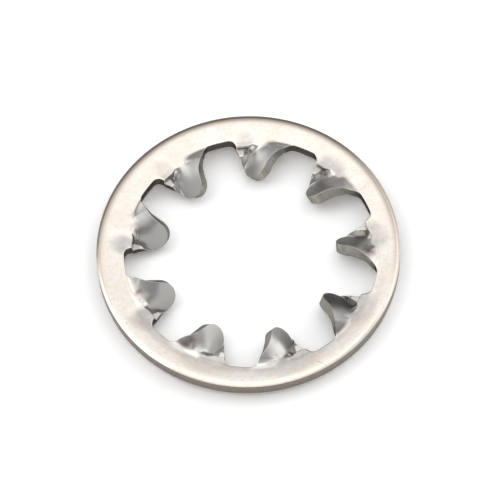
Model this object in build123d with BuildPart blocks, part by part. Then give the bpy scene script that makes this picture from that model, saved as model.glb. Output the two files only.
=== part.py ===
from build123d import *
from math import cos, radians, sin, sqrt
import os

# Toothed lock washer, internal teeth, for an M10 bolt. It is one stamped piece of stainless
# steel sheet: the blank is punched, then a press twists every tooth about its own radial line.
# Frame: millimetres, the rim is centred on the Z axis, one tooth points at +X, and Z = 0 is the
# plane that the low edges of the teeth stand on.

# Blank
outer_diameter = 18.0
sheet_thickness = 0.9
tooth_count = 9
bore_diameter = 10.2  # circle through the tips of the teeth
slot_depth = 2.45  # from the tip circle out to the bottoms of the slots
tooth_width = 1.9
pierce_offset_x = 0.16  # the piercing punches sit a little off the centre of the rim
pierce_offset_y = -0.16
roll_width = 0.36  # rolled-over upper rim, where the blanking die drags the sheet down
roll_depth = 0.17

# Twisted teeth
twist_angle = 46.0  # degrees
tooth_thickness = 0.72  # the press thins the teeth as it twists them
fold_inset = 0.19  # the root fold is a chord of the slot circle, this far in at its middle
fold_length = 1.0  # from the root fold to where the raised edge reaches its full height

# Worked out from the sizes above
rim_radius = outer_diameter / 2
tip_radius = bore_diameter / 2
slot_radius = tip_radius + slot_depth
fold_radius = slot_radius - fold_inset
root_half_width = sqrt(slot_radius**2 - fold_radius**2)
half_width = tooth_width / 2
half_sheet = sheet_thickness / 2
half_tooth = tooth_thickness / 2
round_centre = tip_radius + half_width
twist_sin = sin(radians(twist_angle))
twist_cos = cos(radians(twist_angle))

# A tooth is drawn pointing along X, about the middle plane of the sheet: its -Y edge is turned
# up and its +Y edge down. A half turn about X maps it onto itself, so the corners of the raised
# side also give the lowered side.
tooth_plane = Plane((0, 0, 0), x_dir=(1, 0, 0), z_dir=(0, twist_sin, twist_cos))
edge_rise = half_width * twist_sin
thickness_rise = half_tooth * twist_cos
upper_edge_y = half_tooth * twist_sin - half_width * twist_cos
lower_edge_y = -half_tooth * twist_sin - half_width * twist_cos
# The flank of the slot is upright, so the lower corner of the edge is reached sooner.
lower_share = (root_half_width + lower_edge_y) / (root_half_width + upper_edge_y)
crease_y = (half_tooth - half_sheet * twist_cos) / twist_sin


def turned_over(corners):
    """The same corners on the lowered side: a half turn about the X axis."""
    return [(x, -y, -z) for x, y, z in corners]


raised_root = [
    (fold_radius, -root_half_width, half_sheet),
    (fold_radius, -root_half_width, -half_sheet),
]
raised_edge = [
    (fold_radius - fold_length, upper_edge_y, edge_rise + thickness_rise),
    (fold_radius - fold_length * lower_share, lower_edge_y, edge_rise - thickness_rise),
]
raised_tip = [
    (round_centre, upper_edge_y, edge_rise + thickness_rise),
    (round_centre, lower_edge_y, edge_rise - thickness_rise),
]
crease = [
    (fold_radius, crease_y, half_sheet),
    (fold_radius, -crease_y, -half_sheet),
]
lowered_root = turned_over(raised_root)
lowered_edge = turned_over(raised_edge)
lowered_tip = turned_over(raised_tip)

with BuildPart() as tooth:
    # Full round at the tip
    with BuildSketch(tooth_plane):
        with Locations((round_centre, 0)):
            Circle(half_width)
            Rectangle(
                half_width,
                tooth_width,
                align=(Align.MAX, Align.CENTER),
                mode=Mode.INTERSECT,
            )
    extrude(amount=half_tooth, both=True)
    # Flat of the tooth, which runs out to a point on the root fold
    ConvexPolyhedron(raised_tip + lowered_tip + raised_edge + lowered_edge + crease)
    # Three-cornered folds that carry the flat: one climbs from the ring, one drops from it
    ConvexPolyhedron(raised_root + raised_edge + crease)
    ConvexPolyhedron(lowered_root + lowered_edge + crease)

with BuildPart() as washer:
    # Disc with its rolled-over upper rim
    with BuildSketch(Plane.XZ):
        with BuildLine():
            roll = TangentArc(
                (rim_radius - roll_width, half_sheet),
                (rim_radius, half_sheet - roll_depth),
                tangent=(1, 0),
            )
            Polyline(
                roll @ 1,
                (rim_radius, -half_sheet),
                (0, -half_sheet),
                (0, half_sheet),
                roll @ 0,
            )
        make_face()
    revolve(axis=Axis.Z)
    # Bore out to the slot bottoms, with a chord left standing for every root fold
    with BuildSketch(Plane.XY.offset(-half_sheet)):
        with Locations((pierce_offset_x, pierce_offset_y)):
            RegularPolygon(
                fold_radius,
                tooth_count,
                major_radius=False,
                rotation=180 / tooth_count,
            )
            Circle(slot_radius, mode=Mode.INTERSECT)
    extrude(amount=sheet_thickness, mode=Mode.SUBTRACT)
    with Locations((pierce_offset_x, pierce_offset_y, 0)):
        with PolarLocations(0, tooth_count):
            add(tooth.part)

with BuildPart() as standing:
    with Locations((0, 0, edge_rise + thickness_rise)):
        add(washer.part)

standing.part.label = "toothed_lock_washer"
os.makedirs("parts", exist_ok=True)
export_step(standing.part, "parts/toothed_lock_washer.step")
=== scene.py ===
import math

import bmesh
import bpy
import numpy as np
from mathutils import Matrix, Vector


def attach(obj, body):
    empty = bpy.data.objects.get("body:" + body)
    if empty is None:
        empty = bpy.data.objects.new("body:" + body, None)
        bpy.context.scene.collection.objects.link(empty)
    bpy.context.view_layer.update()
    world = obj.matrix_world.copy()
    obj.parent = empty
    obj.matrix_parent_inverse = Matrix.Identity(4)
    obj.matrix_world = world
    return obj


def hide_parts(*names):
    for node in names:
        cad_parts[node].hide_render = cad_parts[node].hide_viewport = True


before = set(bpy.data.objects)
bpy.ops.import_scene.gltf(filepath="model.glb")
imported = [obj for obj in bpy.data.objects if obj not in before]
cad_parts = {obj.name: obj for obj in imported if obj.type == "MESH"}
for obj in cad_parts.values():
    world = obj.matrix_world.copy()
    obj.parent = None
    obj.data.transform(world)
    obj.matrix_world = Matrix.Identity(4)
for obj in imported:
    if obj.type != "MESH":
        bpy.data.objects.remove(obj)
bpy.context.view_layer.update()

# ---------------------------------------------------------------- sizes, in metres
MM = 0.001
RIM_RADIUS = 8.993 * MM
SHEET = 0.9 * MM
RING_MIDDLE = 0.9334 * MM  # height of the ring's middle plane over the floor
TOOTH_COUNT = 9
PITCH = 2 * math.pi / TOOTH_COUNT

# The punched outline of one tooth and half a slot on each side of it
TIP_RADIUS = 5.06 * MM
SLOT_RADIUS = 7.55 * MM
SLOT_HALF_WIDTH = 0.95 * MM
SLOT_CORNER = 0.45 * MM
TOOTH_WIDTH = 1.92 * MM
ARC_POINTS, SIDE_POINTS = 30, 60  # along each small arc of the outline, and along each longer run

# Each cut drags one edge of the sheet round and leaves the other sharp: the rim was cut from
# above, the slots from below
RIM_ROLL_WIDTH, RIM_ROLL_DEPTH = 0.26 * MM, 0.08 * MM
SLOT_ROLL_WIDTH, SLOT_ROLL_DEPTH = 0.28 * MM, 0.2 * MM
SHARP_EDGE = 0.018 * MM
ROLL_POWER = 1.5  # how suddenly a dragged edge falls away

# On its lowered side the flat of a tooth ends on a line that runs to the tooth's edge, and a ramp
# leads from there up to the pocket: how far off the middle line both ends of the ramp are, at the
# fold and further in
RAMP_RADII = (7.05 * MM, 6.1 * MM)
RAMP_START = (0.58 * MM, 0.86 * MM)
RAMP_END = (0.98 * MM, 1.08 * MM)
RAMP_STEEPNESS = 1.7  # at the start of the ramp, where 1 is a straight one

# The press, as inputs of its tree, where comments say what they do. "from" is where an effect sets
# in and "to" is where it is complete. Both are radii, except that those of half, side, fold,
# crease, winding, slot and tucked edge are distances from the tooth's middle line. The flat's
# growth is how fast it widens inwards. Softness, widths, the twists at the root and the edge and
# core of a dent, whose share the material also paints as grey shade, are shares.
PRESS_SIZES = {
    "Punched sector": None,
    "Pressed share of sheet": 0.74 * MM / SHEET,
    "Lowered half from": -0.25 * MM,
    "Lowered half to": 0.25 * MM,
    "Raised fold radius": 7.5 * MM,
    "Raised flat growth": 2.4,
    "Raised crease from": 0.3 * MM,
    "Raised crease to": 1.1 * MM,
    "Raised root from": 7.42 * MM,
    "Raised root to": 6.9 * MM,
    "Raised side from": -0.15 * MM,
    "Raised side to": -0.7 * MM,
    "Lowered fold radius": 7.06 * MM,
    "Middle fold radius": 7.0 * MM,
    "Lowered fold from": 0.4 * MM,
    "Lowered fold to": 0.85 * MM,
    "Lowered crease from": 0.45 * MM,
    "Lowered crease to": 0.85 * MM,
    "Sharp fold": 0.035 * MM,
    "Soft fold": 0.28 * MM,
    "Fold apex radius": 0.14 * MM,
    "Valley softness": 0.3,
    "Raised twist at the root": 0.35,
    "Lowered twist at the root": 0.93,
    "Winding from": -0.5 * MM,
    "Winding to": 0.5 * MM,
    "Full twist radius": 5.7 * MM,
    "Pocket depth at the fold": 0.28 * MM,
    "Pocket depth at the end": 0.6 * MM,
    "Pocket from": 6.65 * MM,
    "Pocket to": 6.05 * MM,
    "Slot from": 1.6 * MM,
    "Slot to": 2.3 * MM,
    "Lowered side width": 0.955,
    "Width from": 7.2 * MM,
    "Width to": 6.4 * MM,
    "Tuck from": 7.3 * MM,
    "Tuck to": 6.9 * MM,
    "Tuck ends from": 6.4 * MM,
    "Tuck ends to": 5.9 * MM,
    "Tucked edge from": 0.5 * MM,
    "Tucked edge to": 1.2 * MM,
    "Mark radius": 7.5 * MM,
    "Mark reach": 8.5 * MM,
    "Mark edge": 1.05,
    "Mark core": 0.45,
    "Dent depth": 0.03 * MM,
    "Dent ends from": 7.1 * MM,
    "Dent ends to": 6.3 * MM,
    "Dish from": 8.4 * MM,
    "Dish to": 7.4 * MM,
    "Dish depth": 0.042 * MM,
    "Crown depth": 0.014 * MM,
    "Punch offset": (0.16 * MM, -0.16 * MM, 0),
    "Offset ends from": 7.7 * MM,
    "Offset ends to": 8.6 * MM,
    "Ring middle height": RING_MIDDLE,
    "Weld distance": 0.0005 * MM,
}
SOCKETS = {float: "NodeSocketFloat", tuple: "NodeSocketVector", type(None): "NodeSocketObject"}

# How each tooth came out of the press, from the one on +X counter-clockwise: twist in degrees,
# length and raised half width against the drawing, how much painted shade darkens its face, and the
# dent in the ring beside it, also painted with grey shade: middle and half length in mm along the
# ring, and how strong. Last, in mm, how far the edge of the pocket is tucked in and how soft the
# raised crease is.
PRESSED_TEETH = [
    (45.6, 1.00, 1.00, 0.05, 0.6, 1.1, 0.65, 0.16, 0.10),
    (45.0, 1.00, 1.00, 0.00, 0.7, 1.0, 0.75, 0.04, 0.08),
    (45.0, 0.98, 0.98, 0.00, 1.0, 0.6, 0.40, 0.00, 0.08),
    (43.0, 1.00, 0.80, 0.25, 1.0, 0.6, 0.40, 0.00, 0.08),
    (43.0, 1.00, 0.88, 0.45, 1.3, 0.8, 0.80, 0.00, 0.08),
    (44.0, 0.98, 0.88, 0.35, 1.2, 1.0, 1.00, 0.00, 0.20),
    (45.0, 0.965, 0.86, 0.05, 0.6, 2.0, 0.70, 0.00, 0.30),
    (45.0, 0.975, 0.88, 0.05, 0.4, 2.4, 1.00, 0.24, 0.30),
    (45.0, 0.99, 0.90, 0.80, 0.8, 1.3, 1.00, 0.18, 0.15),
]
# What these columns are called at each tooth's place, after the angle that it stands at
TOOTH_VALUES = ("angle", "twist", "reach", "width", "dull", "mark_middle", "mark_length", "mark",
                "tuck", "crease")
VALUES_IN_MM = ("mark_middle", "mark_length", "tuck", "crease")

# Rows and columns of faces in one ninth of the washer
TIP_ROWS, FOLD_ROWS, ROOT_ROWS = 44, 12, 8
TIP_CROWDING = 1.25  # above 1, so that rows lie close at the very tip too
FOLD_FROM, FOLD_TO = 6.92 * MM, 7.2 * MM
RAISED_COLUMNS, FLAT_COLUMNS, RAMP_COLUMNS, POCKET_COLUMNS = 18, 9, 7, 7
SLOT_COLUMNS, RING_ROWS, WALL_ROWS = 8, 20, 5
# The flat takes at most this share of the tooth's lowered half, and the pocket at least this share
# of what is left
FLAT_AT_MOST, POCKET_AT_LEAST = 0.9, 0.4
TINY = 1e-6  # keeps a width off zero and a radius clear of the slot's

CREASE_ANGLE = math.radians(42)  # edges bent by more than this stay sharp
DEGENERATE = 0.0001 * MM  # edges shorter than this are dissolved

# ---------------------------------------------------------------- wear and grain
# Fine scratches, and painted highlights on facets beside the folds, are straight strokes, in mm:
# start, end, half width at each of them, and strength
SCRATCHES = [
    ((6.94, 3.15), (7.37, 3.59), 0.022, 0.022, 0.28),
    ((7.00, 3.48), (7.17, 3.09), 0.020, 0.020, 0.12),
    ((6.02, 4.76), (6.32, 4.80), 0.020, 0.020, 0.20),
    ((6.32, 4.80), (6.88, 4.58), 0.020, 0.020, 0.16),
    ((3.38, -7.71), (3.90, -8.01), 0.022, 0.022, 0.22),
]
BURNISHED = [
    ((-7.08, -2.36), (-6.74, -2.94), 0.04, 0.08, 0.75),
    ((-4.36, -6.17), (-3.62, -6.56), 0.02, 0.11, 0.75),
    ((0.02, -7.46), (0.95, -7.36), 0.11, 0.02, 0.85),
]
# Tarnished spots, in mm: place, radius and strength
TARNISH = [
    ((-4.02, -5.72, 1.45), 0.60, 0.9),
    ((-6.65, -2.20, 1.35), 0.50, 0.5),
    ((-6.26, 2.12, 1.20), 0.65, 0.6),
    ((7.15, -0.95, 1.55), 0.75, 0.9),
    ((-4.90, -5.15, 1.40), 0.35, 0.5),
]

# Directions from the middle of the ring to the side whose inner half is painted grey as shade, and
# to the one whose rim is painted dark and warm as shade. A reach is the cosine of the angle off
# that side where a look begins, and the one where it is complete.
RUBBED_SIDE, RUBBED_REACH = (0.0, -1.0, 0.0), (0.4, 0.62)
DARK_RIM_SIDE, DARK_REACH, WARM_REACH = (0.16, 0.987, 0.0), (-0.3, 0.7), (-0.7, 0.2)

# Radii between which a look of the ring comes in, except that the painted shade in the dents fades
# out there
WARM_BAND = (8.35 * MM, 8.95 * MM)
DARK_BAND = (8.5 * MM, 8.76 * MM)
RUBBED_BAND = (8.25 * MM, 7.8 * MM)
MARK_FADES = (7.65 * MM, 8.25 * MM)
RIM_WALL = (8.2 * MM, 8.6 * MM)

# How strong each look gets, as a share of its colour
GRAIN_STRENGTH = 0.18
WARM_STRENGTHS = (0.15, 0.7)  # opposite the dark side of the rim, and on it
DARK_STRENGTH = 0.56
RUBBED_STRENGTH = 0.68
FADED_MARK = 0.15
STREAK_STRENGTH = 0.38

STROKE_FADES = 2.5  # half widths from a stroke's middle line at which nothing of it is left
SPOT_CORE = 0.3  # share of a tarnished spot's radius that is at full strength

# Grain of the steel: how wide each pattern's spots are, how deep the ripple is, how far the
# clouds are shifted, and how the streaks are drawn out along the cut
CLOUD_SIZE = 1.6 * MM
CLOUD_SHIFT = (4.3 * MM, 1.2 * MM, 0.0)
RIPPLE_SIZE = 0.4 * MM
RIPPLE_DEPTH = 0.004 * MM
GRAIN_SIZE = 0.22 * MM
STREAK_SIZE = 0.14 * MM
STREAK_SHAPE = (1, 1, 0.2)

# Roughness of the rolled sheet and of the pressed faces, and of the upper and the lower part of a
# sheared edge
SHEET_ROUGHNESS, PRESSED_ROUGHNESS = 0.15, 0.33
CUT_ROUGHNESS, TORN_ROUGHNESS = 0.36, 0.5

PRESSED_FACE = (0.1, 0.9)  # shares of the full twist between which the rolled skin is lost
BURR_DEPTH = (0.03, 0.14)  # shares of the wall's height between which the brown along its upper edge ends
TORN_DEPTH = (0.35, 0.6)  # and between which the smooth cut turns into the torn one


# ---------------------------------------------------------------- nodes
def node(tree, kind, *inputs, named=None, **settings):
    """Adds one node with its settings and links.

    Inputs are given in order, or in named by their name or number. Each is a value, a socket, or a
    node whose first output is meant.
    """
    made = tree.nodes.new(kind)
    for key, value in settings.items():
        setattr(made, key, value)
    pairs = list(zip(made.inputs, inputs))
    pairs += [(made.inputs[key], value) for key, value in (named or {}).items()]
    for socket, value in pairs:
        if isinstance(value, bpy.types.Node):
            value = value.outputs[0]
        if isinstance(value, bpy.types.NodeSocket):
            tree.links.new(value, socket)
        else:
            socket.default_value = value
    return made


def linear(code):
    """sRGB hex colour to the linear values that Blender takes, opaque."""
    parts = [int(code[i : i + 2], 16) / 255 for i in (1, 3, 5)]
    return [c / 12.92 if c <= 0.04045 else ((c + 0.055) / 1.055) ** 2.4 for c in parts] + [1.0]


# ---------------------------------------------------------------- the punched blank
def tooth_side():
    """Outline from the middle of a slot to the tip of the tooth, along the +Y side."""
    round_radius = TOOTH_WIDTH / 2
    round_centre = np.array([TIP_RADIUS + round_radius, 0.0])
    corner_angle = PITCH / 2 - SLOT_HALF_WIDTH / SLOT_RADIUS
    corner = SLOT_RADIUS * np.array([math.cos(corner_angle), math.sin(corner_angle)])
    to_corner = corner - round_centre
    reach = math.hypot(*to_corner)
    tangent_angle = math.atan2(to_corner[1], to_corner[0]) + math.acos(round_radius / reach)
    to_touch = np.array([math.cos(tangent_angle), math.sin(tangent_angle)])
    touch = round_centre + round_radius * to_touch
    inward = (touch - corner) / math.hypot(*(touch - corner))
    along_slot = np.array([-math.sin(corner_angle), math.cos(corner_angle)])
    opening = math.acos(float(np.dot(inward, along_slot)))
    cut_back = SLOT_CORNER / math.tan(opening / 2)
    middle = (inward + along_slot) / math.hypot(*(inward + along_slot))
    corner_centre = corner + middle * SLOT_CORNER / math.sin(opening / 2)
    start = corner + along_slot * cut_back - corner_centre
    end = corner + inward * cut_back - corner_centre
    start_angle = math.atan2(start[1], start[0])
    sweep = (math.atan2(end[1], end[0]) - start_angle + math.pi) % (2 * math.pi) - math.pi
    slot_end = corner + along_slot * cut_back
    slot_angles = np.linspace(PITCH / 2, math.atan2(slot_end[1], slot_end[0]), ARC_POINTS)
    corner_angles = start_angle + sweep * np.linspace(0, 1, ARC_POINTS)
    tip_angles = np.linspace(tangent_angle, math.pi, SIDE_POINTS)
    straight = np.linspace(0, 1, SIDE_POINTS)[1:-1, None]
    side_start = corner + inward * cut_back
    return np.concatenate([
        SLOT_RADIUS * np.c_[np.cos(slot_angles), np.sin(slot_angles)],
        (corner_centre + SLOT_CORNER * np.c_[np.cos(corner_angles), np.sin(corner_angles)])[1:],
        side_start + (touch - side_start) * straight,
        round_centre + round_radius * np.c_[np.cos(tip_angles), np.sin(tip_angles)],
    ])


def distance_to(outline, points):
    """Distance of each point from the outline."""
    a, b = outline[:-1], outline[1:]
    run = b - a
    length2 = (run**2).sum(1)
    share = np.clip(((points[:, None] - a) * run).sum(2) / length2, 0, 1)
    gap = points[:, None] - (a + run * share[..., None])
    return np.hypot(gap[..., 0], gap[..., 1]).min(1)


def rolled_down(distance, width, depth):
    """How far the die dragged the sheet down at this distance from a sheared edge."""
    return depth * (1 - np.clip(distance / width, 0, 1)) ** ROLL_POWER


def eased(count):
    """0 to 1 in steps that are finest at both ends."""
    return 0.5 - 0.5 * np.cos(np.linspace(0, math.pi, count + 1))


def across_tooth(radius, half_width):
    """Where the columns of faces lie at one radius, from -1 at the raised edge to 1 at the lowered.

    Two of them follow the ends of the ramp, so that it gets clean creases.
    """
    inward = (RAMP_RADII[0] - min(radius, RAMP_RADII[0])) / (RAMP_RADII[0] - RAMP_RADII[1])
    flat_end = (RAMP_START[0] + (RAMP_START[1] - RAMP_START[0]) * inward) / half_width
    flat_end = min(flat_end, FLAT_AT_MOST)
    ramp_end = (RAMP_END[0] + (RAMP_END[1] - RAMP_END[0]) * inward) / half_width
    ramp_end = min(ramp_end, POCKET_AT_LEAST * flat_end + (1 - POCKET_AT_LEAST))
    raised = np.sin(np.linspace(-math.pi / 2, 0, RAISED_COLUMNS + 1))
    flat = flat_end * np.sin(np.linspace(0, math.pi / 2, FLAT_COLUMNS + 1))
    ramp = flat_end + (ramp_end - flat_end) * eased(RAMP_COLUMNS)
    pocket = ramp_end + (1 - ramp_end) * eased(POCKET_COLUMNS)
    return np.concatenate([raised, flat[1:], ramp[1:], pocket[1:]])


def punched_sector():
    """One ninth of the flat blank about its own middle plane, tooth on +X, as a mesh."""
    side = tooth_side()
    outline = np.concatenate([side, (side[::-1] * [1, -1])[1:]])
    side_radius, side_angle = np.hypot(*side.T), np.arctan2(side[:, 1], side[:, 0])
    first = np.argmax(side_radius < SLOT_RADIUS * (1 - TINY)) - 1
    tip_rows = np.linspace(0, math.pi / 2, TIP_ROWS + 1) ** TIP_CROWDING
    tip_rows = np.sin(tip_rows / (math.pi / 2) ** (TIP_CROWDING - 1))
    tooth_radii = np.concatenate([
        TIP_RADIUS + (FOLD_FROM - TIP_RADIUS) * tip_rows,
        np.linspace(FOLD_FROM, FOLD_TO, FOLD_ROWS + 1)[1:],
        np.linspace(FOLD_TO, SLOT_RADIUS, ROOT_ROWS + 1)[1:],
    ])
    half_angles = np.interp(tooth_radii, side_radius[first:][::-1], side_angle[first:][::-1])
    half_angles[0] = 0
    half_widths = np.maximum(tooth_radii * half_angles, TINY)
    across = np.array([across_tooth(r, w) for r, w in zip(tooth_radii, half_widths)])
    tooth_angles = half_angles[:, None] * across
    tooth_headings = np.stack([np.cos(tooth_angles), np.sin(tooth_angles)], 2)
    tooth_grid = tooth_radii[:, None, None] * tooth_headings

    slot_columns = np.linspace(half_angles[-1], PITCH / 2, SLOT_COLUMNS + 1)[1:]
    ring_angles = np.r_[-slot_columns[::-1], tooth_angles[-1], slot_columns]
    ring_radii = SLOT_RADIUS + (RIM_RADIUS - SLOT_RADIUS) * eased(RING_ROWS)
    ring_grid = ring_radii[:, None, None] * np.stack([np.cos(ring_angles), np.sin(ring_angles)], 1)

    points, depths, faces, sheared = [], [], [], []

    def sheet_of(grid, height, depth, flip, is_wall):
        """Adds a grid of faces. Depth is 0 at the upper end of a wall and 1 at its foot."""
        rows, columns = grid.shape[:2]
        start = sum(len(p) for p in points)
        points.append(np.concatenate([grid, height[..., None]], 2).reshape(-1, 3))
        depths.append(np.broadcast_to(depth, (rows, columns)).reshape(-1))
        for i in range(rows - 1):
            for j in range(columns - 1):
                corner = start + i * columns + j
                face = (corner, corner + 1, corner + columns + 1, corner + columns)
                faces.append(face[::-1] if flip else face)
                sheared.append(is_wall)

    for grid in (tooth_grid, ring_grid):
        flat = grid.reshape(-1, 2)
        distance = distance_to(outline, flat)
        rim_distance = RIM_RADIUS - np.hypot(*flat.T)
        upper = SHEET / 2 - rolled_down(distance, SHARP_EDGE, SHARP_EDGE)
        upper -= rolled_down(rim_distance, RIM_ROLL_WIDTH, RIM_ROLL_DEPTH)
        lower = -SHEET / 2 + rolled_down(distance, SLOT_ROLL_WIDTH, SLOT_ROLL_DEPTH)
        sheet_of(grid, upper.reshape(grid.shape[:2]), 0.0, True, False)
        sheet_of(grid, lower.reshape(grid.shape[:2]), 1.0, False, False)

    edge = np.concatenate([
        ring_grid[0, : SLOT_COLUMNS + 1],
        tooth_grid[::-1, 0][1:],
        tooth_grid[1:, -1],
        ring_grid[0, -SLOT_COLUMNS:],
    ])
    depth = np.linspace(0, 1, WALL_ROWS + 1)[:, None]
    for line, above, below, flip in (
        (edge, SHARP_EDGE, SLOT_ROLL_DEPTH, True),
        (ring_grid[-1], RIM_ROLL_DEPTH, 0.0, False),
    ):
        height = (SHEET / 2 - above) * (1 - depth) - (SHEET / 2 - below) * depth
        wall = np.broadcast_to(line, (WALL_ROWS + 1,) + line.shape)
        sheet_of(wall, np.broadcast_to(height, wall.shape[:2]), depth, flip, True)

    mesh = bpy.data.meshes.new("punched_sector")
    mesh.from_pydata(np.concatenate(points).tolist(), [], faces)
    mesh.attributes.new("depth", "FLOAT", "POINT").data.foreach_set("value", np.concatenate(depths))
    mesh.attributes.new("sheared", "BOOLEAN", "FACE").data.foreach_set("value", sheared)
    return mesh


# ---------------------------------------------------------------- the press
def twist_tree(face_steel, sheared_steel):
    """Geometry Nodes: repeats the blank round the ring and twists every tooth.

    A tooth turns about its own radial line, so that its +Y side goes down. The turn is full on
    the flat of the tooth and dies out towards the slot corners: the flat narrows to a point on
    the fold and leaves a three-cornered facet on each side of it. The raised side has a sharp
    crease along the ring. The lowered side drags the ring down into a shallow dent, and is
    creased only near the slot, where it leaves a small pocket.
    """
    tree = bpy.data.node_groups.new("twist_teeth", "GeometryNodeTree")
    sockets = tree.interface
    sockets.new_socket("Places", in_out="INPUT", socket_type="NodeSocketGeometry")
    sockets.new_socket("Washer", in_out="OUTPUT", socket_type="NodeSocketGeometry")
    identifiers = {}
    for name, value in PRESS_SIZES.items():
        socket = sockets.new_socket(name, in_out="INPUT", socket_type=SOCKETS[type(value)])
        identifiers[name] = socket.identifier
    size = node(tree, "NodeGroupInput").outputs

    # Nine copies of the sector, each carrying the values of its own place
    blank = node(tree, "GeometryNodeObjectInfo", named={"Object": size["Punched sector"]})
    copies = node(tree, "GeometryNodeInstanceOnPoints", size["Places"],
                  named={"Instance": blank.outputs["Geometry"]})
    flat = node(tree, "GeometryNodeRealizeInstances", copies)
    place = {
        name: node(tree, "GeometryNodeInputNamedAttribute", name, data_type="FLOAT")
        for name in TOOTH_VALUES
    }
    spot = node(tree, "GeometryNodeInputPosition")
    x, y, z = node(tree, "ShaderNodeSeparateXYZ", spot).outputs
    in_plane = node(tree, "ShaderNodeVectorMath", spot, (1, 1, 0), operation="MULTIPLY")
    radius = node(tree, "ShaderNodeVectorMath", in_plane, operation="LENGTH").outputs["Value"]
    off_axis = node(tree, "ShaderNodeMath", y, operation="ABSOLUTE")
    lowered = node(tree, "ShaderNodeMapRange", y, size["Lowered half from"],
                   size["Lowered half to"], 0.0, 1.0, interpolation_type="SMOOTHSTEP")

    # The tooth winds up towards its tip, so that its raised edge keeps one height
    root_twist = node(tree, "ShaderNodeMapRange", y, size["Winding from"], size["Winding to"],
                      size["Raised twist at the root"], size["Lowered twist at the root"],
                      interpolation_type="SMOOTHSTEP")
    winding = node(tree, "ShaderNodeMapRange", radius, size["Raised fold radius"],
                   size["Full twist radius"], root_twist, 1.0, interpolation_type="SMOOTHSTEP")
    full_turn = node(tree, "ShaderNodeMath", winding, place["twist"], operation="MULTIPLY")

    # Half width of the flat on the raised side: nothing on the ring, and wider the further in.
    # Near its middle line the tooth leaves the ring later, and softly.
    growth = size["Raised flat growth"]
    raised_in = node(tree, "ShaderNodeMath", size["Raised fold radius"], radius,
                     operation="SUBTRACT")
    raised_width = node(tree, "ShaderNodeMath", raised_in, growth, operation="MULTIPLY")
    raised_soft = node(tree, "ShaderNodeMapRange", off_axis, size["Raised crease from"],
                       size["Raised crease to"], size["Soft fold"], place["crease"],
                       interpolation_type="SMOOTHSTEP")
    raised_soft = node(tree, "ShaderNodeMath", raised_soft, growth, operation="MULTIPLY")
    raised_flat = node(tree, "ShaderNodeMath", raised_width, 0.0, raised_soft,
                       operation="SMOOTH_MAX")
    rooted = node(tree, "ShaderNodeMapRange", radius, size["Raised root from"],
                  size["Raised root to"], 0.0, 1.0, interpolation_type="SMOOTHSTEP")
    off_middle = node(tree, "ShaderNodeMapRange", y, size["Raised side from"],
                      size["Raised side to"], 0.0, 1.0, interpolation_type="SMOOTHSTEP")
    rooted = node(tree, "ShaderNodeMath", rooted, off_middle, operation="MAXIMUM")
    apex = node(tree, "ShaderNodeCombineXYZ", off_axis, size["Fold apex radius"])
    apex = node(tree, "ShaderNodeVectorMath", apex, operation="LENGTH").outputs["Value"]
    raised_share = node(tree, "ShaderNodeMath", raised_flat, apex, operation="DIVIDE")
    raised_share = node(tree, "ShaderNodeMath", raised_share, 1.0, size["Valley softness"],
                        operation="SMOOTH_MIN")
    raised_share = node(tree, "ShaderNodeMath", raised_share, rooted, operation="MULTIPLY")

    # On the lowered side the flat starts wide. Beyond it the sheet was pressed to one depth only.
    flat_end = node(tree, "ShaderNodeMapRange", radius, *RAMP_RADII, *RAMP_START, clamp=False)
    ramp_end = node(tree, "ShaderNodeMapRange", radius, *RAMP_RADII, *RAMP_END, clamp=False)
    in_pocket = node(tree, "ShaderNodeMapRange", y, flat_end, ramp_end, 0.0, 1.0)
    steepness = node(tree, "ShaderNodeMath", in_pocket, 1 - RAMP_STEEPNESS, RAMP_STEEPNESS,
                     operation="MULTIPLY_ADD")
    in_pocket = node(tree, "ShaderNodeMath", in_pocket, steepness, operation="MULTIPLY")
    pocket_depth = node(tree, "ShaderNodeMapRange", radius, size["Pocket from"], size["Pocket to"],
                        size["Pocket depth at the fold"], size["Pocket depth at the end"],
                        interpolation_type="SMOOTHSTEP")
    pocket_turn = node(tree, "ShaderNodeMath", pocket_depth, apex, operation="DIVIDE")
    pocket_share = node(tree, "ShaderNodeMath", pocket_turn, full_turn, operation="DIVIDE")
    pocket_share = node(tree, "ShaderNodeMath", pocket_share, 1.0, operation="MINIMUM")
    lowered_share = node(tree, "ShaderNodeMix", in_pocket, named={2: 1.0, 3: pocket_share})
    lowered_soft = node(tree, "ShaderNodeMapRange", y, size["Lowered crease from"],
                        size["Lowered crease to"], size["Soft fold"], size["Sharp fold"],
                        interpolation_type="SMOOTHSTEP")
    lowered_fold = node(tree, "ShaderNodeMapRange", y, size["Lowered fold from"],
                        size["Lowered fold to"], size["Middle fold radius"],
                        size["Lowered fold radius"], interpolation_type="SMOOTHSTEP")
    fold_out = node(tree, "ShaderNodeMath", lowered_fold, lowered_soft, operation="ADD")
    fold_in = node(tree, "ShaderNodeMath", lowered_fold, lowered_soft, operation="SUBTRACT")
    below_fold = node(tree, "ShaderNodeMapRange", radius, fold_out, fold_in, 0.0, 1.0,
                      interpolation_type="SMOOTHSTEP")
    lowered_share = node(tree, "ShaderNodeMath", lowered_share, below_fold, operation="MULTIPLY")

    # Share of the full twist: 1 on the flat, less on the facets, 0 on the ring
    between_slots = node(tree, "ShaderNodeMapRange", off_axis, size["Slot from"], size["Slot to"],
                         1.0, 0.0, interpolation_type="SMOOTHSTEP")
    pressed = node(tree, "ShaderNodeMix", lowered, named={2: raised_share, 3: lowered_share})
    pressed = node(tree, "ShaderNodeMath", pressed, between_slots, operation="MULTIPLY")
    turn = node(tree, "ShaderNodeMath", pressed, full_turn, operation="MULTIPLY")

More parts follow.
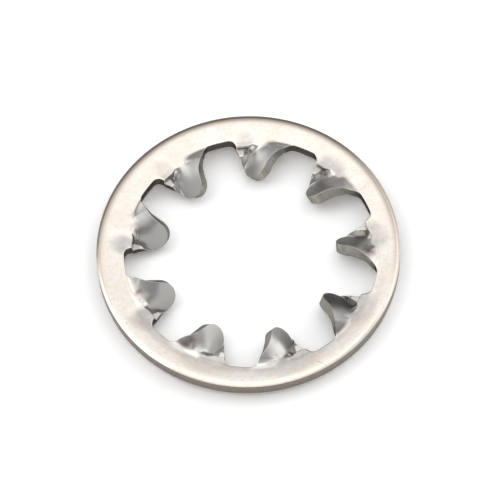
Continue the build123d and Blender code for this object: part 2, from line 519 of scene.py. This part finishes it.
    # The press thins the sheet as it twists it. The tooth comes out narrower, and the edge of its
    # pocket is tucked in.
    thinning = node(tree, "ShaderNodeMapRange", pressed, 0.0, 1.0, 1.0,
                    size["Pressed share of sheet"])
    thinned = node(tree, "ShaderNodeMath", z, thinning, operation="MULTIPLY")
    narrow_high = node(tree, "ShaderNodeMapRange", radius, size["Width from"], size["Width to"],
                       1.0, place["width"], interpolation_type="SMOOTHSTEP")
    narrow_low = node(tree, "ShaderNodeMapRange", radius, size["Width from"], size["Width to"],
                      1.0, size["Lowered side width"], interpolation_type="SMOOTHSTEP")
    narrow = node(tree, "ShaderNodeMix", lowered, named={2: narrow_high, 3: narrow_low})
    narrowed = node(tree, "ShaderNodeMath", y, narrow, operation="MULTIPLY")
    tucked = node(tree, "ShaderNodeMapRange", radius, size["Tuck from"], size["Tuck to"],
                  0.0, place["tuck"], interpolation_type="SMOOTHSTEP")
    untucked = node(tree, "ShaderNodeMapRange", radius, size["Tuck ends from"],
                    size["Tuck ends to"], 1.0, 0.0, interpolation_type="SMOOTHSTEP")
    at_edge = node(tree, "ShaderNodeMapRange", y, size["Tucked edge from"],
                   size["Tucked edge to"], 0.0, untucked, interpolation_type="SMOOTHSTEP")
    tucked = node(tree, "ShaderNodeMath", tucked, at_edge, operation="MULTIPLY")
    narrowed = node(tree, "ShaderNodeMath", narrowed, tucked, operation="SUBTRACT")
    section = node(tree, "ShaderNodeCombineXYZ", 0.0, narrowed, thinned)
    clockwise = node(tree, "ShaderNodeMath", turn, -1.0, operation="MULTIPLY")
    turned = node(tree, "ShaderNodeVectorRotate", section, named={"Angle": clockwise},
                  rotation_type="X_AXIS")
    _, turned_y, turned_z = node(tree, "ShaderNodeSeparateXYZ", turned).outputs

    # Each tooth's own length
    reach_in = node(tree, "ShaderNodeMath", raised_in, 0.0, operation="MAXIMUM")
    stretch = node(tree, "ShaderNodeMath", place["reach"], -1.0, operation="ADD")
    stretch = node(tree, "ShaderNodeMath", reach_in, stretch, operation="MULTIPLY")
    longer = node(tree, "ShaderNodeMath", x, stretch, operation="SUBTRACT")

    # A shallow dent in the ring beside the lowered fold, whose share the material also paints as
    # grey shade, and the shallow dish of the ring
    along = node(tree, "ShaderNodeMath", y, place["mark_middle"], operation="SUBTRACT")
    along = node(tree, "ShaderNodeMath", along, place["mark_length"], operation="DIVIDE")
    outward = node(tree, "ShaderNodeMapRange", radius, size["Mark radius"], size["Mark reach"],
                   0.0, 1.0)
    off_mark = node(tree, "ShaderNodeCombineXYZ", along, outward)
    off_mark = node(tree, "ShaderNodeVectorMath", off_mark, operation="LENGTH").outputs["Value"]
    mark = node(tree, "ShaderNodeMapRange", off_mark, size["Mark edge"], size["Mark core"],
                0.0, place["mark"], interpolation_type="SMOOTHSTEP")
    dent_in = node(tree, "ShaderNodeMapRange", radius, size["Dent ends from"],
                   size["Dent ends to"], size["Dent depth"], 0.0, interpolation_type="SMOOTHSTEP")
    dent = node(tree, "ShaderNodeMath", mark, dent_in, operation="MULTIPLY")
    sunk = node(tree, "ShaderNodeMapRange", radius, size["Dish from"], size["Dish to"],
                0.0, size["Dish depth"])
    height = node(tree, "ShaderNodeMath", turned_z, size["Ring middle height"], operation="ADD")
    height = node(tree, "ShaderNodeMath", height, dent, operation="SUBTRACT")
    height = node(tree, "ShaderNodeMath", height, sunk, operation="SUBTRACT")
    crown = node(tree, "ShaderNodeMapRange", radius, RIM_RADIUS, size["Dish from"],
                 0.0, size["Crown depth"])
    height = node(tree, "ShaderNodeMath", height, crown, operation="SUBTRACT")

    # Round to its own place, and off centre by as much as the piercing punches were
    formed = node(tree, "ShaderNodeCombineXYZ", longer, turned_y, height)
    placed = node(tree, "ShaderNodeVectorRotate", formed, named={"Angle": place["angle"]},
                  rotation_type="Z_AXIS")
    kept = node(tree, "ShaderNodeMapRange", radius, size["Offset ends from"],
                size["Offset ends to"], 1.0, 0.0, interpolation_type="SMOOTHSTEP")
    offset = node(tree, "ShaderNodeVectorMath", size["Punch offset"], operation="SCALE",
                  named={"Scale": kept.outputs[0]})
    final = node(tree, "ShaderNodeVectorMath", placed, offset, operation="ADD")

    # What the materials read
    dulled = node(tree, "ShaderNodeMath", place["dull"], pressed, operation="MULTIPLY")
    noted = flat
    for name, value in (("pressed", pressed), ("dulled", dulled), ("press_mark", mark)):
        noted = node(tree, "GeometryNodeStoreNamedAttribute", noted, data_type="FLOAT",
                     domain="POINT", named={"Name": name, "Value": value})

    # Moved into place, joined to one mesh, and given its two steels
    moved = node(tree, "GeometryNodeSetPosition", noted, named={"Position": final})
    welded = node(tree, "GeometryNodeMergeByDistance", moved,
                  named={"Distance": size["Weld distance"]})
    whole = node(tree, "GeometryNodeRealizeInstances", welded)
    all_steel = node(tree, "GeometryNodeSetMaterial", whole, named={"Material": face_steel})
    is_sheared = node(tree, "GeometryNodeInputNamedAttribute", "sheared", data_type="BOOLEAN")
    both = node(tree, "GeometryNodeSetMaterial", all_steel,
                named={"Selection": is_sheared, "Material": sheared_steel})
    node(tree, "NodeGroupOutput", both)
    return tree, identifiers


def pressed_washer(face_steel, sheared_steel):
    """The whole washer as one plain mesh, with its creases and sheared edges kept sharp."""
    sector = bpy.data.objects.new("punched_sector", punched_sector())
    bpy.context.scene.collection.objects.link(sector)
    places = bpy.data.meshes.new("places")
    places.from_pydata([(0, 0, 0)] * TOOTH_COUNT, [], [])
    columns = [[i * PITCH for i in range(TOOTH_COUNT)], *zip(*PRESSED_TEETH)]
    for name, values in zip(TOOTH_VALUES, columns):
        if name == "twist":
            values = [math.radians(value) for value in values]
        elif name in VALUES_IN_MM:
            values = [value * MM for value in values]
        places.attributes.new(name, "FLOAT", "POINT").data.foreach_set("value", values)
    former = bpy.data.objects.new("former", places)
    bpy.context.scene.collection.objects.link(former)
    tree, identifiers = twist_tree(face_steel, sheared_steel)
    press = former.modifiers.new("press", "NODES")
    press.node_group = tree
    for name, value in PRESS_SIZES.items():
        press[identifiers[name]] = sector if name == "Punched sector" else value
    bpy.context.view_layer.update()
    graph = bpy.context.evaluated_depsgraph_get()
    mesh = bpy.data.meshes.new_from_object(former.evaluated_get(graph))
    former.modifiers.remove(press)
    bpy.data.objects.remove(former)
    bpy.data.objects.remove(sector)
    bpy.data.node_groups.remove(tree)
    work = bmesh.new()
    work.from_mesh(mesh)
    bmesh.ops.dissolve_degenerate(work, dist=DEGENERATE, edges=work.edges)
    bmesh.ops.recalc_face_normals(work, faces=work.faces)
    for edge in work.edges:
        faces = edge.link_faces
        cut = len(faces) == 2 and faces[0].material_index != faces[1].material_index
        edge.smooth = not cut and edge.calc_face_angle(0) < CREASE_ANGLE
    work.to_mesh(mesh)
    work.free()
    mesh.polygons.foreach_set("use_smooth", [True] * len(mesh.polygons))
    mesh.name = "twisted_tooth_washer"
    return bpy.data.objects.new("twisted_tooth_washer", mesh)


# ---------------------------------------------------------------- materials
def material(name):
    """An empty material and its node tree."""
    made = bpy.data.materials.new(name)
    made.use_nodes = True
    made.node_tree.nodes.clear()
    return made, made.node_tree


def rolled_stainless():
    """Stainless steel sheet as rolled and pickled.

    It gives the eye a bright, slightly warm metal with a soft satin reflection and faint clouds.
    Where the press worked it, it is greyer, cooler and duller.
    """
    made, tree = material("rolled_stainless_sheet")
    spot = node(tree, "ShaderNodeTexCoord").outputs["Object"]
    pressed = node(tree, "ShaderNodeAttribute", attribute_name="pressed").outputs["Fac"]
    dulled = node(tree, "ShaderNodeAttribute", attribute_name="dulled").outputs["Fac"]
    marked = node(tree, "ShaderNodeAttribute", attribute_name="press_mark").outputs["Fac"]
    worked = node(tree, "ShaderNodeMapRange", pressed, *PRESSED_FACE, 0.0, 1.0)

    # Cloudy patches left by pickling. A noise lies near 0.5, so it is spread before it is used.
    shifted = node(tree, "ShaderNodeVectorMath", spot, CLOUD_SHIFT, operation="ADD")
    clouds = node(tree, "ShaderNodeTexNoise", named={
        "Vector": shifted, "Scale": 1 / CLOUD_SIZE, "Detail": 4.0})
    clouds = node(tree, "ShaderNodeMapRange", clouds, 0.35, 0.65, 0.0, 1.0)
    sheet = node(tree, "ShaderNodeMix", clouds, named={6: linear("#d9d4cd"), 7: linear("#d5ccc3")},
                 data_type="RGBA").outputs[2]

    # The faint ripple of rolled sheet, and its grain, which takes the light unevenly. The real
    # ones are finer than 0.1 mm and would not be seen, so both are drawn coarser.
    ripple = node(tree, "ShaderNodeTexNoise", named={
        "Vector": spot, "Scale": 1 / RIPPLE_SIZE, "Detail": 3.0})
    wavy = node(tree, "ShaderNodeBump", named={
        "Strength": 1.0, "Distance": RIPPLE_DEPTH, "Height": ripple})
    grain = node(tree, "ShaderNodeTexNoise", named={
        "Vector": spot, "Scale": 1 / GRAIN_SIZE, "Detail": 3.0})
    grain = node(tree, "ShaderNodeMapRange", grain, 0.45, 0.7, 0.0, GRAIN_STRENGTH)
    sheet = node(tree, "ShaderNodeMix", grain, named={6: sheet, 7: linear("#b0a8a0")},
                 data_type="RGBA").outputs[2]

    # Painted shade on the rolled rim: a slightly darker and warmer band along it, more so on one
    # side
    in_plane = node(tree, "ShaderNodeVectorMath", spot, (1, 1, 0), operation="MULTIPLY")
    radius = node(tree, "ShaderNodeVectorMath", in_plane, operation="LENGTH").outputs["Value"]
    heading = node(tree, "ShaderNodeVectorMath", in_plane, operation="NORMALIZE")
    dark_side = node(tree, "ShaderNodeVectorMath", heading, DARK_RIM_SIDE,
                     operation="DOT_PRODUCT").outputs["Value"]
    warmth = node(tree, "ShaderNodeMapRange", dark_side, *WARM_REACH, *WARM_STRENGTHS,
                  interpolation_type="SMOOTHSTEP")
    at_rim = node(tree, "ShaderNodeMapRange", radius, *WARM_BAND, 0.0, warmth,
                  interpolation_type="SMOOTHSTEP")
    sheet = node(tree, "ShaderNodeMix", at_rim, named={6: sheet, 7: linear("#c3b5a8")},
                 data_type="RGBA").outputs[2]

    # Painted shade: the rolled edge is drawn dark on that side
    oiled = node(tree, "ShaderNodeMapRange", dark_side, *DARK_REACH, 0.0, DARK_STRENGTH,
                 interpolation_type="SMOOTHSTEP")
    dark_rim = node(tree, "ShaderNodeMapRange", radius, *DARK_BAND, 0.0, oiled)
    sheet = node(tree, "ShaderNodeMix", dark_rim, named={6: sheet, 7: linear("#857b73")},
                 data_type="RGBA").outputs[2]

    # Painted shade: grey in the dents beside the folds, and along the inner half of the ring on one
    # side
    inner_half = node(tree, "ShaderNodeMapRange", radius, *RUBBED_BAND, 0.0, RUBBED_STRENGTH,
                      interpolation_type="SMOOTHSTEP")
    rubbed = node(tree, "ShaderNodeVectorMath", heading, RUBBED_SIDE,
                  operation="DOT_PRODUCT").outputs["Value"]
    rubbed = node(tree, "ShaderNodeMapRange", rubbed, *RUBBED_REACH, 0.0, inner_half,
                  interpolation_type="SMOOTHSTEP")
    fading = node(tree, "ShaderNodeMapRange", radius, *MARK_FADES, 1.0, FADED_MARK)
    marked = node(tree, "ShaderNodeMath", marked, fading, operation="MULTIPLY")
    marked = node(tree, "ShaderNodeMath", marked, rubbed, operation="MAXIMUM")
    uneven = node(tree, "ShaderNodeMapRange", ripple, 0.35, 0.65, 0.7, 1.0)
    marked = node(tree, "ShaderNodeMath", marked, uneven, operation="MULTIPLY")
    sheet = node(tree, "ShaderNodeMix", marked, named={6: sheet, 7: linear("#a3a09d")},
                 data_type="RGBA").outputs[2]

    # The faces of the teeth: smooth and neutral from the press, and some of them darkened with
    # painted shade
    steel = node(tree, "ShaderNodeMix", worked, named={6: sheet, 7: linear("#c4c2bf")},
                 data_type="RGBA").outputs[2]
    steel = node(tree, "ShaderNodeMix", dulled, named={6: steel, 7: linear("#807e7d")},
                 data_type="RGBA").outputs[2]

    # Painted highlights on facets beside the folds, then fine scratches that lost their shine
    for strokes, colour in ((BURNISHED, "#f7f4f0"), (SCRATCHES, "#6f665e")):
        stroked = 0.0
        for start, end, start_width, end_width, strength in strokes:
            run = Vector((end[0] - start[0], end[1] - start[1], 0)) * MM
            origin = Vector((start[0] * MM, start[1] * MM, RING_MIDDLE + SHEET / 2))
            away = node(tree, "ShaderNodeVectorMath", spot, origin, operation="SUBTRACT")
            along = node(tree, "ShaderNodeVectorMath", away, run.normalized(),
                         operation="DOT_PRODUCT").outputs["Value"]
            along = node(tree, "ShaderNodeMapRange", along, 0.0, run.length, 0.0, run.length)
            foot = node(tree, "ShaderNodeVectorMath", run.normalized(), operation="SCALE",
                        named={"Scale": along.outputs[0]})
            away = node(tree, "ShaderNodeVectorMath", away, foot,
                        operation="DISTANCE").outputs["Value"]
            half_width = node(tree, "ShaderNodeMapRange", along, 0.0, run.length,
                              start_width * MM, end_width * MM)
            gone_at = node(tree, "ShaderNodeMath", half_width, STROKE_FADES, operation="MULTIPLY")
            stroke = node(tree, "ShaderNodeMapRange", away, half_width, gone_at, strength, 0.0)
            stroked = node(tree, "ShaderNodeMath", stroke, stroked, operation="MAXIMUM")
        steel = node(tree, "ShaderNodeMix", stroked, named={6: steel, 7: linear(colour)},
                     data_type="RGBA").outputs[2]

    # Brown spots of tarnish, mostly on the pressed corners
    tarnished = 0.0
    for place, reach, strength in TARNISH:
        away = node(tree, "ShaderNodeVectorMath", spot, Vector(place) * MM,
                    operation="DISTANCE").outputs["Value"]
        stain = node(tree, "ShaderNodeMapRange", away, SPOT_CORE * reach * MM, reach * MM,
                     strength, 0.0)
        tarnished = node(tree, "ShaderNodeMath", stain, tarnished, operation="MAXIMUM")
    patchy = node(tree, "ShaderNodeMapRange", ripple, 0.35, 0.6, 0.4, 1.0)
    tarnished = node(tree, "ShaderNodeMath", tarnished, patchy, operation="MULTIPLY")
    steel = node(tree, "ShaderNodeMix", tarnished, named={6: steel, 7: linear("#7d6f66")},
                 data_type="RGBA").outputs[2]

    # The rolled skin flashes at a grazing angle, and the pressed faces hardly do
    flash = node(tree, "ShaderNodeMix", worked, named={6: (1, 1, 1, 1), 7: (0.1, 0.1, 0.1, 1)},
                 data_type="RGBA").outputs[2]
    rough = node(tree, "ShaderNodeMapRange", worked, 0.0, 1.0, SHEET_ROUGHNESS, PRESSED_ROUGHNESS)
    shader = node(tree, "ShaderNodeBsdfPrincipled", named={
        "Base Color": steel, "Metallic": 1.0, "Roughness": rough, "Specular Tint": flash,
        "Normal": wavy})
    node(tree, "ShaderNodeOutputMaterial", shader)
    return made


def sheared_stainless():
    """The same steel where it was sheared.

    It gives the eye a darker, greyer edge, drawn smooth in its upper part and torn and duller
    below, with fine streaks along the cut and a brown line under the upper edge of the rim.
    """
    made, tree = material("sheared_stainless_edge")
    spot = node(tree, "ShaderNodeTexCoord").outputs["Object"]
    pressed = node(tree, "ShaderNodeAttribute", attribute_name="pressed").outputs["Fac"]
    depth = node(tree, "ShaderNodeAttribute", attribute_name="depth").outputs["Fac"]
    worked = node(tree, "ShaderNodeMapRange", pressed, *PRESSED_FACE, 0.0, 1.0)
    in_plane = node(tree, "ShaderNodeVectorMath", spot, (1, 1, 0), operation="MULTIPLY")
    radius = node(tree, "ShaderNodeVectorMath", in_plane, operation="LENGTH").outputs["Value"]
    on_rim = node(tree, "ShaderNodeMapRange", radius, *RIM_WALL, 0.0, 1.0)
    # Sheared steel is dark and dull; the walls of the slots are darker still, as painted shade in
    # the slots
    steel = node(tree, "ShaderNodeMix", worked, named={6: linear("#6b6865"), 7: linear("#a9a59e")},
                 data_type="RGBA").outputs[2]
    steel = node(tree, "ShaderNodeMix", on_rim, named={6: steel, 7: linear("#8a8279")},
                 data_type="RGBA").outputs[2]

    # Streaks that the punch drew down the wall, drawn coarser than the real ones so that they show
    along = node(tree, "ShaderNodeVectorMath", spot, STREAK_SHAPE, operation="MULTIPLY")
    streaks = node(tree, "ShaderNodeTexNoise", named={
        "Vector": along, "Scale": 1 / STREAK_SIZE, "Detail": 4.0})
    streaks = node(tree, "ShaderNodeMapRange", streaks, 0.3, 0.75, 0.0, STREAK_STRENGTH)
    steel = node(tree, "ShaderNodeMix", streaks, named={6: steel, 7: linear("#57534f")},
                 data_type="RGBA").outputs[2]

    # Brown along the upper edge of the rim wall
    burr = node(tree, "ShaderNodeMapRange", depth, *BURR_DEPTH, on_rim, 0.0)
    steel = node(tree, "ShaderNodeMix", burr, named={6: steel, 7: linear("#80664f")},
                 data_type="RGBA").outputs[2]

    # Torn metal is rougher, and only the rim flashes fully at a grazing angle
    rough = node(tree, "ShaderNodeMapRange", depth, *TORN_DEPTH, CUT_ROUGHNESS, TORN_ROUGHNESS)
    flash = node(tree, "ShaderNodeMix", on_rim, named={6: (0.25, 0.25, 0.25, 1), 7: (1, 1, 1, 1)},
                 data_type="RGBA").outputs[2]
    shader = node(tree, "ShaderNodeBsdfPrincipled", named={
        "Base Color": steel, "Metallic": 1.0, "Roughness": rough, "Specular Tint": flash})
    node(tree, "ShaderNodeOutputMaterial", shader)
    return made


washer = pressed_washer(rolled_stainless(), sheared_stainless())
bpy.context.scene.collection.objects.link(washer)
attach(washer, "root")
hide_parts("toothed_lock_washer")

# ---------------------------------------------------------------- floor
FLOOR_HALF = 0.6
SEEN_WHITE = 1.09  # bright enough that the open card is seen as pure white

floor_mesh = bpy.data.meshes.new("floor")
corner_signs = ((-1, -1), (1, -1), (1, 1), (-1, 1))
floor_corners = [(x * FLOOR_HALF, y * FLOOR_HALF, 0) for x, y in corner_signs]
floor_mesh.from_pydata(floor_corners, [], [(0, 1, 2, 3)])
floor = bpy.data.objects.new("floor", floor_mesh)
bpy.context.scene.collection.objects.link(floor)

# Matt white card: it gives the eye a plain white ground with the washer's soft shadow on it
floor_paint, tree = material("white_card")
path = node(tree, "ShaderNodeLightPath").outputs
seen = node(tree, "ShaderNodeMath", path["Is Camera Ray"], path["Is Glossy Ray"],
            operation="MAXIMUM")
seen = node(tree, "ShaderNodeMath", seen, path["Is Transmission Ray"], operation="MAXIMUM")
card = node(tree, "ShaderNodeMix", seen, named={
    6: linear("#efefef"), 7: (SEEN_WHITE, SEEN_WHITE, SEEN_WHITE, 1)}, data_type="RGBA").outputs[2]
shader = node(tree, "ShaderNodeBsdfDiffuse", card)
node(tree, "ShaderNodeOutputMaterial", shader)
floor_mesh.materials.append(floor_paint)

# ---------------------------------------------------------------- light
CAMERA_AZIMUTH = math.radians(-2.8)  # how far round the ring the camera stands from -Y


def camera_frame(right, back, up):
    """A direction given as seen from the camera's side: to the right, away from it, and up."""
    cosine, sine = math.cos(CAMERA_AZIMUTH), math.sin(CAMERA_AZIMUTH)
    return (right * cosine - back * sine, right * sine + back * cosine, up)


# Soft panels in a plain room, each with its direction (right, back, up), how many degrees round it
# are at full strength, at how many nothing is left, and its strength
PANELS = [
    ((0, 0.1, 1), 15, 27, 0.62),
    ((0, 0.2, 1), 33, 43, 0.7),
    ((1, 0.1, 0.1), 20, 44, 0.85),
    ((0.66, 0.46, 0.6), 15, 31, 0.9),
    ((0.8, 0.7, 0), 12, 28, 0.4),
    ((-1, -0.2, 0.15), 14, 32, 0.35),
    ((-0.7, 0.08, 0.8), 12, 26, 1.3),
    ((-0.82, 0.56, 0.06), 15, 32, 1.1),
    ((0.5, -0.8, 0.3), 12, 23, 0.9),
    ((-0.45, -0.85, 0.3), 12, 23, 1.0),
]
ROOM = 0.4

world = bpy.data.worlds.new("studio")
bpy.context.scene.world = world
world.use_nodes = True
tree = world.node_tree
tree.nodes.clear()
heading = node(tree, "ShaderNodeTexCoord").outputs["Generated"]
total = ROOM
for direction, inner, outer, strength in PANELS:
    aim = Vector(camera_frame(*direction)).normalized()
    near = node(tree, "ShaderNodeVectorMath", heading, aim,
                operation="DOT_PRODUCT").outputs["Value"]
    panel = node(tree, "ShaderNodeMapRange", near, math.cos(math.radians(outer)),
                 math.cos(math.radians(inner)), 0.0, strength, interpolation_type="SMOOTHSTEP")
    total = node(tree, "ShaderNodeMath", total, panel, operation="ADD")
room = node(tree, "ShaderNodeBackground", (1, 1, 1, 1), total)
node(tree, "ShaderNodeOutputWorld", room)

# ---------------------------------------------------------------- camera
ELEVATION = math.radians(63.2)
CAMERA_ROLL = math.radians(-2.6)
CAMERA_DISTANCE = 0.3
PIXELS_PER_MM = 16.87
FRAME_SIZE = 500  # pixels
CENTRE_X, CENTRE_Y = 248.34, 252.717  # where the middle of the ring is in the frame, in pixels
SENSOR = 36.0

target = Vector((0, 0, RING_MIDDLE))
forward = Vector(camera_frame(0, math.cos(ELEVATION), -math.sin(ELEVATION)))
camera_data = bpy.data.cameras.new("camera")
camera = bpy.data.objects.new("camera", camera_data)
bpy.context.scene.collection.objects.link(camera)
camera.matrix_world = (
    Matrix.Translation(target - forward * CAMERA_DISTANCE)
    @ forward.to_track_quat("-Z", "Y").to_matrix().to_4x4()
    @ Matrix.Rotation(CAMERA_ROLL, 4, "Z")
)
camera_data.sensor_width = SENSOR
camera_data.lens = PIXELS_PER_MM * 1000 * CAMERA_DISTANCE * SENSOR / FRAME_SIZE
camera_data.shift_x = -(CENTRE_X - FRAME_SIZE / 2) / FRAME_SIZE
camera_data.shift_y = (CENTRE_Y - FRAME_SIZE / 2) / FRAME_SIZE
bpy.context.scene.camera = camera

bpy.context.scene.view_settings.view_transform = "Standard"
